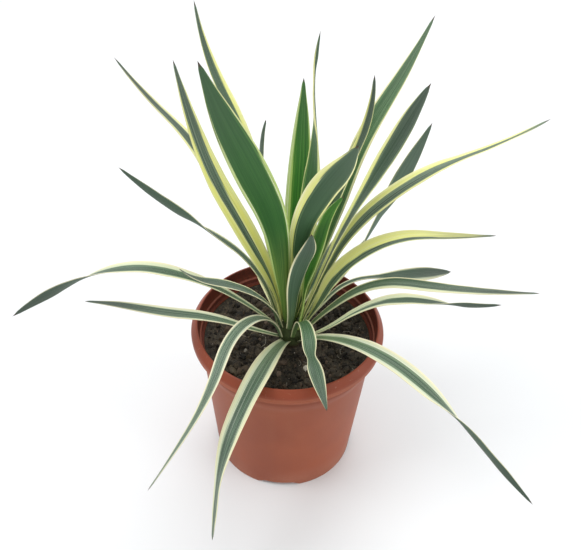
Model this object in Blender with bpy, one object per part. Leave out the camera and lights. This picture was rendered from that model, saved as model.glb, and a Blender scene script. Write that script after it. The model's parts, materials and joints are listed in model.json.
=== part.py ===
"""A variegated yucca growing in a round plastic nursery pot.

Metres, with +Z up. The origin is the middle of the pot's foot, on the surface that the pot
stands on. +Y points away from the side of the plant that faces a viewer, and +X to the right.
"""

import math

import bpy
import numpy as np

MM = 0.001
GAP = 0.3 * MM  # clearance between two pieces that touch on the real plant

# Pot, in millimetres: a thin wall turned round Z. Its floor stands on a flat plate in the middle
# and on a foot ring, with a raised drainage channel between them, and its rim is flared.
POT_STEPS = 48
PLATE_RADIUS = 38.0
FOOT_RADIUS = 64.5
FOOT_RING = 4.5
FOOT_BEVEL = 0.6
FLOOR_THICKNESS = 2.5
CHANNEL_HEIGHT = 5.0
CHANNEL_SLOPE = 1.5
NECK_RADIUS = 75.3
NECK_HEIGHT = 120.0
RIM_RADIUS = 85.0
RIM_HEIGHT = 144.0
FLARE_STEPS = 6
LIP_OUTSIDE = [(84.6, 147.0), (80.6, 152.5), (79.6, 152.8)]
INSIDE_FOOT = 62.2
INSIDE_STEP_RADIUS = 74.2
INSIDE_STEP_HEIGHT = 134.0
LIP_INSIDE = [(78.9, 152.2), (77.4, 140.4), (76.2, 139.4), (75.8, 135.4)]

# Drain holes in the channel's roof and arched notches in the foot ring, in millimetres
DRAIN_COUNT = 8
DRAIN_RADIUS = 4.5
DRAIN_STEPS = 12
DRAIN_CIRCLE = 49.5
NOTCH_COUNT = 4
NOTCH_BEARING = -93.0
NOTCH_HEIGHT = 4.0
NOTCH_TOP = 27.0
NOTCH_BOTTOM = 38.0

# Crown: the short stem that all leaves grow from stands a little off the pot's middle
CROWN_X = 3.0 * MM
CROWN_Y = -3.0 * MM
STEM_RADIUS = 10.5 * MM
STEM_FOOT = 95.0 * MM
STEM_STEPS = 24
DOME_RINGS = 7
CROWN_BASE = 137.0 * MM
DOME_HEIGHT = 25.0 * MM
DOME = np.array([STEM_RADIUS, STEM_RADIUS, DOME_HEIGHT])

# Soil: its top lies below the lip and has low lumps
SOIL_TOP = 133.0 * MM
SOIL_LUMP = 0.9 * MM
SOIL_RINGS = [1.0, 0.93, 0.82, 0.68, 0.54, 0.40, 0.28]

# Leaf blades, cut into the same number of stretches
LEAF_STRETCHES = 16
FINE_STEPS = 4
ACROSS = np.array([-1.0, -0.5, 0.0, 0.5, 1.0])
GUTTER = (0.5, 0.3, 0.2, 0.15, 0.1)
EDGE_THICKNESS = (0.9 * MM, 0.7 * MM, 0.65 * MM, 0.65 * MM, 0.65 * MM)
RIB_THICKNESS = (1.3 * MM, 0.7 * MM, 0.4 * MM, 0.2 * MM, 0.0)
TIP_HALF_WIDTH = 0.6 * MM


def leaf(seat, length, width, climb, head, roll=(0, 0), peak=0.55, neck=0.34):
    """One row of the leaf list.

    seat: bearing round the crown and rise up its dome, in degrees
    length, width: the blade's length along its middle and its widest width, in millimetres
    climb: angle above the horizontal at even stations from root to tip, in degrees
    head: compass heading at even stations, in degrees from +X towards +Y
    roll: turn of the blade about its own middle at even stations, in degrees
    peak: share of the length at which the blade is widest
    neck: share of the widest width that the root has
    """
    return dict(seat=seat, length=length * MM, width=width * MM, climb=climb, head=head,
                roll=roll, peak=peak, neck=neck)


# Leaves from the heart of the rosette outwards
LEAVES = [
    # Tallest heart leaf, turned edge-on near its tip
    leaf((25, 80), 263, 21, (76, 84, 84, 100, 79), (47, 52, 43),
         (0, 0, 0, -4, -10, -29, -48, -54, -110), peak=0.42, neck=0.28),
    # Upright heart leaf at the back
    leaf((100, 69), 207, 20, (78, 74, 74, 73, 73), (86, 84, 91), peak=0.5, neck=0.28),
    # Leaf that leans to the front right and shows its back
    leaf((297, 67), 244, 24, (82, 94, 65, 56, 59), (299, 298, 300), (0, -20, -30, -30, -20),
         peak=0.74, neck=0.22),
    # Slim upright leaf on the right
    leaf((20, 65), 239, 13, (77, 82, 73, 73, 94), (15, 5, 7),
         (0, 10, 20, 26, 30, 25, 15, 35, 55), peak=0.6, neck=0.3),
    # Longest leaf, at the front left, seen from behind
    leaf((228, 58), 331, 25, (82, 81, 60, 60, 65), (236, 245, 244), (0, 30, 45, 40, 30)),
    # Tall leaf at the back left, bent over once
    leaf((126, 57), 278, 15, (62, 74, 74, 44, 68), (127, 144, 119), (0, 0, 0, 10, 20)),
    # Tall leaf at the back right
    leaf((42, 52), 280, 16, (71, 69, 75, 55, 63), (44, 28, 34), (0, 10, 20, 20, 10)),
    # Straight leaf to the right
    leaf((348, 47), 258, 18, (75, 75, 70, 68, 71), (352, 352, 352), (0, 10, 14, 34, 32),
         peak=0.8),
    # Straight broad leaf to the left
    leaf((173, 47), 254, 22, (83, 64, 63, 74, 79), (166, 170, 166), (0, -20, -20, -20, -20),
         peak=0.42, neck=0.28),
    # Two young leaves in front of the heart
    leaf((312, 40), 157, 15, (80, 88, 78, 79, 57), (335, 340, 340), (0, 30, 55, 60, 50),
         peak=0.6, neck=0.3),
    leaf((264, 46), 121, 17, (78, 89, 79, 69, 86), (300, 314, 312), (0, -10, -20, -20, -20),
         peak=0.75),
    # Long arching leaf to the right
    leaf((16, 37), 284, 16, (71, 71, 41, 20, 34), (11, 13, 6),
         (0, 5, 10, 10, 10, 5, -15, -15, 5), peak=0.5),
    # Leaf at the back whose tip curls upright
    leaf((98, 42), 186, 12, (61, 64, 48, 90, 109), (118, 116, 128), (0, 0, 20, 80, 95)),
    # Short leaf to the left
    leaf((208, 38), 139, 13, (77, 57, 42, 29, 55), (210, 211, 205)),
    # Long folded leaf at the back left
    leaf((145, 35), 269, 16, (69, 52, 54, 27, 45), (143, 142, 151), (0, 0, 6, 20, 16),
         neck=0.3),
    # Arching leaf to the right, level at its end
    leaf((333, 30), 214, 16, (68, 73, 41, 8, 21), (348, 361, 339), (0, 38, 14, 0, 0),
         peak=0.45, neck=0.3),
    # Short leaf at the back, hidden behind the heart
    leaf((70, 36), 135, 15, (52, 42, 22, 6), (82, 84, 84), peak=0.5),
    # Twisted leaf at the back right
    leaf((56, 24), 219, 17, (31, 25, 39, 41, 41), (40, 52, 54), (0, 0, -75, -130, -140),
         peak=0.65),
    # Short leaf that arches down over the front
    leaf((282, 24), 122, 13, (80, 55, -25, -40, -59), (302, 281, 304),
         (0, 0, 0, 0, 10, 68, 15, 0, 0), peak=0.65),
    # Long leaf that droops to the left and turns over
    leaf((186, 25), 258, 14, (52, 44, 25, -19, -33), (193, 196, 196),
         (0, -5, -10, -15, -20, 5, 45, 80, 90), peak=0.74, neck=0.3),
    # Leaf at the left that turns over half way
    leaf((163, 13), 210, 12, (84, 66, 36, 32, 36), (169, 173, 163), (0, 0, 15, 80, 100),
         peak=0.65),
    # Slim level leaf to the right
    leaf((30, 19), 154, 15, (45, 49, -3, -4, -8), (25, 11, 19), (0, -20, -30, 10, 10),
         peak=0.8, neck=0.26),
    # Leaf that arches down over the rim at the front left
    leaf((222, 16), 225, 12, (79, 25, -23, -21, -37), (216, 255, 226), (0, 0, 15, 32, 35),
         peak=0.35),
    # Level leaf at the back, hidden behind the rosette
    leaf((108, 20), 130, 14, (42, 20, 0, -6), (103, 101, 101), peak=0.5),
    # Long level leaf to the right
    leaf((6, 10), 220, 12, (53, 43, 1, 0, -2), (12, -10, 5), (0, 10, 10, 0, 0), peak=0.5),
    # Short leaf at the back right, hidden
    leaf((80, 14), 95, 13, (40, 32, 28, 26), (66, 58, 58), peak=0.5),
    # Slim leaf to the front right
    leaf((342, 3), 210, 13, (42, 55, 46, 14, 20), (336, 319, 348),
         (0, 10, 18, 20, 20, 10, -15, -65, -85), peak=0.68, neck=0.3),
    # Broad leaf that falls over the rim at the front right and twists
    leaf((312, 7), 262, 18, (46, 19, -14, -32, -35), (321, 320, 327), (0, 0, 0, -70, -120),
         peak=0.42),
    # Broad leaf that falls over the rim at the front
    leaf((247, 6), 224, 19, (36, 7, -20, -74, -75), (252, 249, 252), (0, 0, 10, 45, 25),
         peak=0.3, neck=0.5),
    # Slim level leaf to the left
    leaf((192, 4), 174, 13, (29, 32, 15, 21, 12), (196, 191, 189), peak=0.55, neck=0.3),
    # Short leaf at the back left, hidden
    leaf((134, 10), 95, 12, (42, 30, 18, 14), (118, 116, 116), peak=0.5),
]

# Colour, roughness and metallic value of each material
POT_FINISH = ((0.36, 0.13, 0.075), 0.42, 0.0)
SOIL_FINISH = ((0.028, 0.018, 0.013), 0.95, 0.0)
STEM_FINISH = ((0.30, 0.36, 0.13), 0.60, 0.0)
LEAF_FINISH = ((0.20, 0.33, 0.16), 0.45, 0.0)


def clear_scene():
    """Remove whatever the open file holds."""
    for thing in list(bpy.data.objects):
        bpy.data.objects.remove(thing, do_unlink=True)


def make_material(name, finish):
    """Principled material from a colour, a roughness and a metallic value."""
    colour, roughness, metallic = finish
    material = bpy.data.materials.new(name)
    material.use_nodes = True
    shader = material.node_tree.nodes["Principled BSDF"]
    shader.inputs["Base Color"].default_value = (*colour, 1.0)
    shader.inputs["Roughness"].default_value = roughness
    shader.inputs["Metallic"].default_value = metallic
    return material


def add_object(name, points, faces, material=None):
    """Object from points in metres and faces."""
    mesh = bpy.data.meshes.new(name)
    mesh.from_pydata([tuple(map(float, point)) for point in points], [], faces)
    mesh.validate()
    made = bpy.data.objects.new(name, mesh)
    bpy.context.collection.objects.link(made)
    if material:
        mesh.materials.append(material)
    return made


def shade(made, angle):
    """Smooth shading that keeps edges sharper than the angle."""
    made.data.shade_smooth()
    made.data.set_sharp_from_angle(angle=math.radians(angle))


def circle(radius, height, steps, middle=(0.0, 0.0)):
    """Points of a level circle."""
    turns = [2 * math.pi * step / steps for step in range(steps)]
    return [(middle[0] + radius * math.cos(turn), middle[1] + radius * math.sin(turn), height)
            for turn in turns]


def join_rings(count, steps):
    """Quads between neighbouring rings of points, stored one ring after another."""
    faces = []
    for ring in range(count - 1):
        for step in range(steps):
            low, high = ring * steps, (ring + 1) * steps
            after = (step + 1) % steps
            faces.append((low + step, low + after, high + after, high + step))
    return faces


def turned_solid(name, rings, steps, material):
    """Closed solid through rings of points, with a fan to a pole at each end.

    The rings run from the bottom pole along the outside and back to the top pole.
    """
    points = [point for ring in rings for point in ring]
    faces = join_rings(len(rings), steps)
    for ring, flip in ((0, True), (len(rings) - 1, False)):
        pole = len(points)
        start = ring * steps
        middle = np.mean(np.array(rings[ring]), axis=0)
        points.append(tuple(middle))
        for step in range(steps):
            edge = (start + step, start + (step + 1) % steps)
            faces.append((edge[1], edge[0], pole) if flip else (edge[0], edge[1], pole))
    return add_object(name, points, faces, material)


def smoothstep(share):
    """Ease from 0 to 1."""
    return share * share * (3 - 2 * share)


def floor_outline(clearance=0.0):
    """Corners of the floor's upper side from the wall inwards, raised by a clearance."""
    channel_top = CHANNEL_HEIGHT + FLOOR_THICKNESS + clearance
    plate_top = FLOOR_THICKNESS + clearance
    return [(INSIDE_FOOT - clearance, channel_top),
            (PLATE_RADIUS - clearance, channel_top),
            (PLATE_RADIUS - CHANNEL_SLOPE - clearance, plate_top)]


def pot_outline():
    """Corners of the pot's section from under its floor, up the outside and down the inside."""
    channel_outside = FOOT_RADIUS - FOOT_RING
    outline = [(PLATE_RADIUS, 0.0),
               (PLATE_RADIUS + CHANNEL_SLOPE, CHANNEL_HEIGHT),
               (channel_outside - FOOT_BEVEL, CHANNEL_HEIGHT),
               (channel_outside, 0.0),
               (FOOT_RADIUS - FOOT_BEVEL, 0.0),
               (FOOT_RADIUS, FOOT_BEVEL)]
    for step in range(FLARE_STEPS + 1):
        share = step / FLARE_STEPS
        radius = NECK_RADIUS + (RIM_RADIUS - NECK_RADIUS) * smoothstep(share)
        outline.append((radius, NECK_HEIGHT + (RIM_HEIGHT - NECK_HEIGHT) * share))
    outline += LIP_OUTSIDE + LIP_INSIDE
    outline.append((INSIDE_STEP_RADIUS, INSIDE_STEP_HEIGHT))
    return outline + floor_outline()


def drain_cutter(bearing):
    """Upright cylinder through the pot's floor."""
    middle = (DRAIN_CIRCLE * MM * math.cos(bearing), DRAIN_CIRCLE * MM * math.sin(bearing))
    low = (CHANNEL_HEIGHT - 1) * MM
    high = (CHANNEL_HEIGHT + FLOOR_THICKNESS + 1) * MM
    rings = [circle(DRAIN_RADIUS * MM, height, DRAIN_STEPS, middle) for height in (low, high)]
    return turned_solid("drain_cutter", rings, DRAIN_STEPS, None)


def notch_cutter(bearing):
    """Tapered bar that cuts one drainage notch through the foot ring."""
    inner = (FOOT_RADIUS - 2 * FOOT_RING) * MM
    outer = (FOOT_RADIUS + FOOT_RING) * MM
    half_bottom, half_top = NOTCH_BOTTOM / 2 * MM, NOTCH_TOP / 2 * MM
    slope = (half_bottom - half_top) / NOTCH_HEIGHT
    section = [(-half_bottom - slope * MM, -1 * MM), (half_bottom + slope * MM, -1 * MM),
               (half_top, NOTCH_HEIGHT * MM), (-half_top, NOTCH_HEIGHT * MM)]
    points = [(radius, side, height) for radius in (inner, outer) for side, height in section]
    faces = [(0, 3, 2, 1), (4, 5, 6, 7), (0, 1, 5, 4), (1, 2, 6, 5), (2, 3, 7, 6), (3, 0, 4, 7)]
    cutter = add_object("notch_cutter", points, faces)
    cutter.rotation_euler.z = bearing
    return cutter


def cut(made, cutters):
    """Take the cutters away from an object, and keep the result as its mesh."""
    tools = bpy.data.collections.new("cutters")
    bpy.context.scene.collection.children.link(tools)
    for cutter in cutters:
        cutter.hide_render = True
        cutter.display_type = "WIRE"
        bpy.context.collection.objects.unlink(cutter)
        tools.objects.link(cutter)
    boolean = made.modifiers.new("cut", "BOOLEAN")
    boolean.operation = "DIFFERENCE"
    boolean.operand_type = "COLLECTION"
    boolean.collection = tools
    boolean.solver = "EXACT"
    bpy.context.view_layer.update()
    scene_now = bpy.context.evaluated_depsgraph_get()
    mesh = bpy.data.meshes.new_from_object(made.evaluated_get(scene_now))
    made.modifiers.remove(boolean)
    made.data = mesh
    for cutter in cutters:
        bpy.data.objects.remove(cutter, do_unlink=True)
    bpy.data.collections.remove(tools)


def make_pot():
    """Turned wall with drain holes in the floor and notches in the foot ring."""
    rings = [circle(radius * MM, height * MM, POT_STEPS) for radius, height in pot_outline()]
    pot = turned_solid("pot", rings, POT_STEPS, make_material("pot_plastic", POT_FINISH))
    cutters = [drain_cutter(2 * math.pi * hole / DRAIN_COUNT) for hole in range(DRAIN_COUNT)]
    for notch in range(NOTCH_COUNT):
        bearing = math.radians(NOTCH_BEARING) + 2 * math.pi * notch / NOTCH_COUNT
        cutters.append(notch_cutter(bearing))
    cut(pot, cutters)
    shade(pot, 35)
    return pot


def inside_radius(height):
    """Radius of the pot's straight inner wall at a height, in metres."""
    wall_foot = CHANNEL_HEIGHT + FLOOR_THICKNESS
    share = (height / MM - wall_foot) / (INSIDE_STEP_HEIGHT - wall_foot)
    return (INSIDE_FOOT + (INSIDE_STEP_RADIUS - INSIDE_FOOT) * share) * MM


def lump(x, y):
    """Height of the soil's low lumps above its mean level."""
    waves = (math.sin(190 * x + 1.3) * math.cos(170 * y)
             + 0.7 * math.sin(330 * y - 240 * x) + 0.5 * math.cos(420 * x + 90 * y))
    return SOIL_LUMP * waves / 2.2


def soil_top_ring(share):
    """Ring on the soil's top: share 1 is at the wall, and the centre moves to the crown."""
    edge = inside_radius(SOIL_TOP) - GAP
    middle = (CROWN_X * (1 - share), CROWN_Y * (1 - share))
    ring = circle(edge * share, SOIL_TOP, POT_STEPS, middle)
    calm = min(1.0, (1 - share) * 10)
    return [(x, y, z + calm * lump(x, y)) for x, y, z in ring]


def make_soil():
    """Body of soil that fills the pot, with a plain round hole for the stem."""
    hole = STEM_RADIUS + GAP
    crown = (CROWN_X, CROWN_Y)
    bottom = floor_outline(GAP / MM)[::-1]
    rings = [circle(radius * MM, height * MM, POT_STEPS) for radius, height in bottom]
    rings += [soil_top_ring(share) for share in SOIL_RINGS]
    rings.append(circle(hole, SOIL_TOP, POT_STEPS, crown))
    rings.append(circle(hole, STEM_FOOT - GAP, POT_STEPS, crown))
    soil = turned_solid("soil", rings, POT_STEPS, make_material("soil", SOIL_FINISH))
    shade(soil, 50)
    return soil


def make_stem(crown):
    """Short round stem that ends in the dome that the leaves sit on."""
    rings = [circle(STEM_RADIUS, STEM_FOOT - CROWN_BASE, STEM_STEPS)]
    for ring in range(DOME_RINGS):
        rise = math.radians(90 * ring / DOME_RINGS)
        rings.append(circle(STEM_RADIUS * math.cos(rise), DOME_HEIGHT * math.sin(rise), STEM_STEPS))
    stem = turned_solid("stem", rings, STEM_STEPS, make_material("stem", STEM_FINISH))
    stem.parent = crown
    shade(stem, 40)
    return stem


def steady(share, stations):
    """Value at a share of the length, changing evenly between stations."""
    return np.interp(share, np.linspace(0, 1, len(stations)), stations)


def eased(share, stations):
    """Value at a share of the length, easing in and out of each station."""
    place = np.clip(share, 0, 1) * (len(stations) - 1)
    before = np.minimum(place.astype(int), len(stations) - 2)
    blend = smoothstep(place - before)
    values = np.array(stations, dtype=float)
    return values[before] * (1 - blend) + values[before + 1] * blend


def directions(share, row):
    """Unit vectors along the blade's middle, from its climb and heading."""
    climb = np.radians(steady(share, row["climb"]))
    head = np.radians(steady(share, row["head"]))
    level = np.cos(climb)
    return np.stack([level * np.cos(head), level * np.sin(head), np.sin(climb)], axis=1), head


def middle_line(row):
    """Points along the blade's middle, from its root at zero."""
    fine = LEAF_STRETCHES * FINE_STEPS
    share = (np.arange(fine) + 0.5) / fine
    steps = directions(share, row)[0] * row["length"] / fine
    return np.concatenate([[[0, 0, 0]], np.cumsum(steps, axis=0)])[::FINE_STEPS]


def half_widths(share, row):
    """Half of the blade's width: a narrow root, a broad middle and a long taper."""
    peak, neck = row["peak"], row["neck"]
    swell = neck + (1 - neck) * np.sin(math.pi / 2 * np.clip(share / peak, 0, 1)) ** 1.6
    taper = 1 - np.clip((share - peak) / (1 - peak), 0, 1) ** 2.1
    return np.maximum(row["width"] / 2 * np.where(share < peak, swell, taper), TIP_HALF_WIDTH)


def blade_faces(row):
    """Upper and lower points of the blade, as stations along it by places across it."""
    share = np.linspace(0, 1, LEAF_STRETCHES + 1)
    along, head = directions(share, row)
    level_side = np.stack([-np.sin(head), np.cos(head), 0 * head], axis=1)
    up = np.cross(along, level_side)
    roll = np.radians(eased(share, row["roll"]))[:, None]
    side = level_side * np.cos(roll) + up * np.sin(roll)
    face = up * np.cos(roll) - level_side * np.sin(roll)
    half = half_widths(share, row)[:, None]
    trough = half * steady(share, GUTTER)[:, None] * ACROSS ** 2
    rib = steady(share, RIB_THICKNESS)[:, None] * (1 - ACROSS ** 2)
    thickness = steady(share, EDGE_THICKNESS)[:, None] + rib
    spread = side[:, None, :] * (half * ACROSS)[..., None]
    middle = middle_line(row)[:, None, :] + spread + face[:, None, :] * trough[..., None]
    offset = face[:, None, :] * thickness[..., None] / 2
    return middle + offset, middle - offset


def depth_in_dome(points):
    """How far points near the crown's dome lie inside it, in metres."""
    level = np.linalg.norm(points / DOME, axis=-1)
    slope = np.linalg.norm(points / DOME ** 2, axis=-1) / level
    return (1 - level) / slope


def seat_on_dome(row, root_ring):
    """Place of a leaf's root, so that its cut end just clears the crown's dome."""
    bearing, rise = map(math.radians, row["seat"])
    around = np.array([math.cos(rise) * math.cos(bearing), math.cos(rise) * math.sin(bearing),
                       math.sin(rise)])
    place = DOME * around
    outward = around / DOME
    outward /= np.linalg.norm(outward)
    for _ in range(3):
        place = place + outward * (GAP + depth_in_dome(root_ring + place).max())
    return place


def strip_faces(low, high, turned):
    """Triangles of one strip between two stations, its diagonal the same on both faces."""
    (a, b), (d, c) = low, high
    if turned:
        return [(a, d, b), (d, c, b)]
    return [(a, d, c), (a, c, b)]


def blade_triangles():
    """Triangles of a blade whose stations hold upper points, then lower points backwards."""
    wide = len(ACROSS)
    ring = 2 * wide
    faces = []
    for station in range(LEAF_STRETCHES):
        low, high = station * ring, (station + 1) * ring
        for place in range(ring):
            after = (place + 1) % ring
            on_lower_face = wide <= place < ring - 1
            faces += strip_faces((low + place, low + after), (high + place, high + after),
                                 on_lower_face)
    for start, flip in ((0, False), (LEAF_STRETCHES * ring, True)):
        for place in range(wide - 1):
            quad = (start + place, start + place + 1, start + ring - 2 - place,
                    start + ring - 1 - place)
            pair = [(quad[0], quad[1], quad[2]), (quad[0], quad[2], quad[3])]
            faces += [face[::-1] for face in pair] if flip else pair
    return faces


def make_leaf(number, row, crown, material):
    """One sword-shaped blade, gutter-shaped near its root and flat towards its tip."""
    upper, lower = blade_faces(row)
    stations = np.concatenate([upper, lower[:, ::-1]], axis=1)
    made = add_object(f"leaf_{number:02d}", stations.reshape(-1, 3), blade_triangles(), material)
    made.parent = crown
    made.location = seat_on_dome(row, stations[0])
    shade(made, 50)
    return made


def make_crown():
    """Empty at the foot of the crown's dome, which carries the stem and the leaves."""
    crown = bpy.data.objects.new("crown", None)
    crown.location = (CROWN_X, CROWN_Y, CROWN_BASE)
    bpy.context.collection.objects.link(crown)
    return crown


def main():
    clear_scene()
    make_pot()
    make_soil()
    crown = make_crown()
    make_stem(crown)
    leaf_material = make_material("leaf", LEAF_FINISH)
    for number, row in enumerate(LEAVES, start=1):
        make_leaf(number, row, crown, leaf_material)


main()
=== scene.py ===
# %% [markdown]
# # A variegated yucca in a plastic nursery pot
#
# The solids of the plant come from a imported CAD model, which stays as it is. This lesson dresses
# them: each sword-shaped leaf gets a fine blade with cream margins, the soil gets crumbs and bark,
# and the pot gets its moulded lip, its grooves and a satin finish. The solids load first, because
# every piece takes its place and its size from them.

# %% Load the solids
import json
import math

import bmesh
import bpy
import numpy as np
from mathutils import Matrix, Vector, noise

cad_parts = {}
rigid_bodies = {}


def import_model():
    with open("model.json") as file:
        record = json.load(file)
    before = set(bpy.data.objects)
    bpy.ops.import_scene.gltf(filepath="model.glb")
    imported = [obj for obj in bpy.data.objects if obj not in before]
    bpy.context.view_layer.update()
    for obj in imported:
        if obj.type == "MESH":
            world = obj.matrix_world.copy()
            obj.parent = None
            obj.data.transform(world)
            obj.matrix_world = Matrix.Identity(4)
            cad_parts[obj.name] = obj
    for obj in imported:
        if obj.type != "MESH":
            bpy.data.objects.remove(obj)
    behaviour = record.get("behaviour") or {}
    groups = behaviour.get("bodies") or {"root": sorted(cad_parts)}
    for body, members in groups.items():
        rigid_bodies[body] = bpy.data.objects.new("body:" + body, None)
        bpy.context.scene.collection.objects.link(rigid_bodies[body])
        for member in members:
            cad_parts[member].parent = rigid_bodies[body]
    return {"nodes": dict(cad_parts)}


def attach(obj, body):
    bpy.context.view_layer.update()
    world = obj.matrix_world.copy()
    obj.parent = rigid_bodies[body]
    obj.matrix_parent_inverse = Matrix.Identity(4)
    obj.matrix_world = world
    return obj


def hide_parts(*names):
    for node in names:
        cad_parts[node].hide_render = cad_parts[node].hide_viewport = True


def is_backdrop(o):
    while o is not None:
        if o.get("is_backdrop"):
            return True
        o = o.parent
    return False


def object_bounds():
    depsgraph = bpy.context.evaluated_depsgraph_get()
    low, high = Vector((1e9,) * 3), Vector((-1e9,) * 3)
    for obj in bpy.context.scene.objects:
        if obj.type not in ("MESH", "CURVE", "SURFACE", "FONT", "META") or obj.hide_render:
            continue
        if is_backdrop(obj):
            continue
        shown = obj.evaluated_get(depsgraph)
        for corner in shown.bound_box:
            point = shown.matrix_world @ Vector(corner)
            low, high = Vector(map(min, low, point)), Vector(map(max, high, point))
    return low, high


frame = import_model()
cad_low, cad_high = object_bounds()
MM = 0.001
leaf_names = sorted(name for name in frame["nodes"] if name.startswith("leaf_"))
print("solids", len(frame["nodes"]), "leaves", len(leaf_names))
print("box in mm", [round(float(side) / MM, 1) for side in cad_high - cad_low])

# %% [markdown]
# ## Node trees written as sums
#
# A leaf's pattern is arithmetic: a margin is wherever the distance from the edge is less than a
# band. Written as nodes, that is dozens of boxes and links. The class below wraps a node's output,
# so that `band - distance` adds the Math node by itself. The same class serves the finishes and the
# Geometry Nodes trees, because both kinds of tree have the same Math node.

# %% Wires and graphs
def pick(sockets, key):
    """The shown socket with that name or place."""
    shown = [socket for socket in sockets if socket.enabled]
    return shown[key] if isinstance(key, int) else next(s for s in shown if s.name == key)


class Wire:
    """A node's output. Arithmetic on it adds Math nodes to its graph."""

    def __init__(self, graph, socket):
        self.graph, self.socket = graph, socket

    def also(self, name):
        """Another output of the same node."""
        return Wire(self.graph, pick(self.socket.node.outputs, name))

    def __neg__(self):
        return self * -1.0

    def __abs__(self):
        return self.graph.math("ABSOLUTE", self)


def teach_sign(name, operation):
    """Give wires one sign of arithmetic, with the wire on either side of it."""
    setattr(Wire, "__%s__" % name, lambda wire, other: wire.graph.math(operation, wire, other))
    setattr(Wire, "__r%s__" % name, lambda wire, other: wire.graph.math(operation, other, wire))


for name, operation in (("add", "ADD"), ("sub", "SUBTRACT"), ("mul", "MULTIPLY"),
                        ("truediv", "DIVIDE"), ("pow", "POWER")):
    teach_sign(name, operation)


class Graph:
    """Adds nodes to the tree of a finish or of a modifier."""

    def __init__(self, tree):
        self.tree = tree

    def node(self, kind, settings={}, inputs={}, output=0):
        """A new node: its settings first, then the values or links of its sockets."""
        made = self.tree.nodes.new(kind)
        place = len(self.tree.nodes)
        made.location = (220 * (place % 12) - 2600, 800 - 280 * (place // 12))
        for name, value in settings.items():
            setattr(made, name, value)
        for name, value in inputs.items():
            for single in value if isinstance(value, list) else [value]:
                socket = pick(made.inputs, name)
                if isinstance(single, Wire):
                    self.tree.links.new(single.socket, socket)
                else:
                    socket.default_value = single
        return Wire(self, pick(made.outputs, output)) if made.outputs else None

    def shape(self, kind, settings={}, **inputs):
        """A Geometry Nodes node. Underscores stand for spaces in its sockets' names."""
        return self.node("GeometryNode" + kind, settings, {
            name.replace("_", " "): value for name, value in inputs.items()})

    def math(self, operation, *values):
        return self.node("ShaderNodeMath", {"operation": operation}, dict(enumerate(values)))

    def mix(self, factor, first, second):
        """A colour between two, each a wire or a screen colour from 0 to 255."""
        first, second = (paint(*colour) if isinstance(colour, tuple) else colour
                         for colour in (first, second))
        return self.node("ShaderNodeMix", {"data_type": "RGBA"},
                         {"Factor": factor, "A": first, "B": second}, "Result")

    def step(self, value, start, end):
        """0 before start, 1 after end, and a soft change between them."""
        return self.node("ShaderNodeMapRange", {"interpolation_type": "SMOOTHSTEP"},
                         {"Value": value, "From Min": start, "From Max": end})

    def band(self, value, rise, fall):
        """1 between two soft edges, each given as where it is 0 and where it is 1."""
        return self.step(value, *rise) * self.step(value, *fall)

    def point(self, x, y, z):
        return self.node("ShaderNodeCombineXYZ", {}, {"X": x, "Y": y, "Z": z})

    def vector(self, operation, *values):
        return self.node("ShaderNodeVectorMath", {"operation": operation},
                         dict(enumerate(values)))

    def scale(self, vector, factor):
        """A vector times a number."""
        return self.node("ShaderNodeVectorMath", {"operation": "SCALE"},
                         {0: vector, "Scale": factor})

    def noise(self, place, scale=1.0, detail=2.0, roughness=0.5):
        """Soft random values from 0 to 1."""
        return self.node("ShaderNodeTexNoise", {}, {"Vector": place, "Scale": scale,
                                                    "Detail": detail, "Roughness": roughness})

    def random(self, seed, low=0.0, high=1.0):
        """A random number for each point, or a random vector where the limits are vectors."""
        kind = "FLOAT_VECTOR" if isinstance(low, tuple) else "FLOAT"
        return self.node("FunctionNodeRandomValue", {"data_type": kind},
                         {"Min": low, "Max": high, "Seed": seed})

    def attribute(self, name):
        """A value that the mesh carries at its points, for a finish."""
        return self.node("ShaderNodeAttribute", {"attribute_name": name}, {}, "Fac")

    def spot(self):
        """The place on the object in metres, for a finish."""
        return self.node("ShaderNodeTexCoord", {}, {}, "Object")

    def bump(self, strength, distance, height):
        """A relief that only tilts the light, with its distance in metres."""
        return self.node("ShaderNodeBump", {}, {"Strength": strength, "Distance": distance,
                                                "Height": height}, "Normal")


def paint(red, green, blue):
    """A colour from 0 to 255 as a screen shows it, in the linear values that a shader needs."""
    def linear(value):
        share = value / 255
        return share / 12.92 if share <= 0.04045 else ((share + 0.055) / 1.055) ** 2.4
    return (linear(red), linear(green), linear(blue), 1.0)


def new_finish(name, **constants):
    """A material, its graph and its Principled shader, with some plain sockets set."""
    made = bpy.data.materials.new(name)
    made.use_nodes = True
    shader = made.node_tree.nodes["Principled BSDF"]
    for label, value in constants.items():
        shader.inputs[label.replace("_", " ")].default_value = value
    return made, Graph(made.node_tree), shader


def feed(graph, shader, **wires):
    """Link wires to the shader's sockets."""
    for name, wire in wires.items():
        graph.tree.links.new(wire.socket, shader.inputs[name.replace("_", " ")])


def new_object(name, data):
    """An object in the scene, round a mesh, a lamp or a camera."""
    made = bpy.data.objects.new(name, data)
    bpy.context.scene.collection.objects.link(made)
    return made


def new_mesh(name, points, faces, edges=()):
    made = bpy.data.meshes.new(name)
    made.from_pydata(points, edges, faces)
    return made


print("a middle grey", [round(value, 3) for value in paint(128, 128, 128)])

# %% [markdown]
# ## Camera
#
# The plant is looked down on at about 41 degrees, with the camera rolled by two. So the camera is
# placed by its distance, rise and roll about a point in the rosette, and its matrix is built from
# three directions, because a roll is then one turn of two of them.

# %% Camera
CAMERA_TARGET = Vector((0.001, 0.0, 0.2067))
CAMERA_DISTANCE = 0.745
CAMERA_RISE = math.radians(41.5)
CAMERA_ROLL = math.radians(2.04)
LENS_MM = 55

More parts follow.
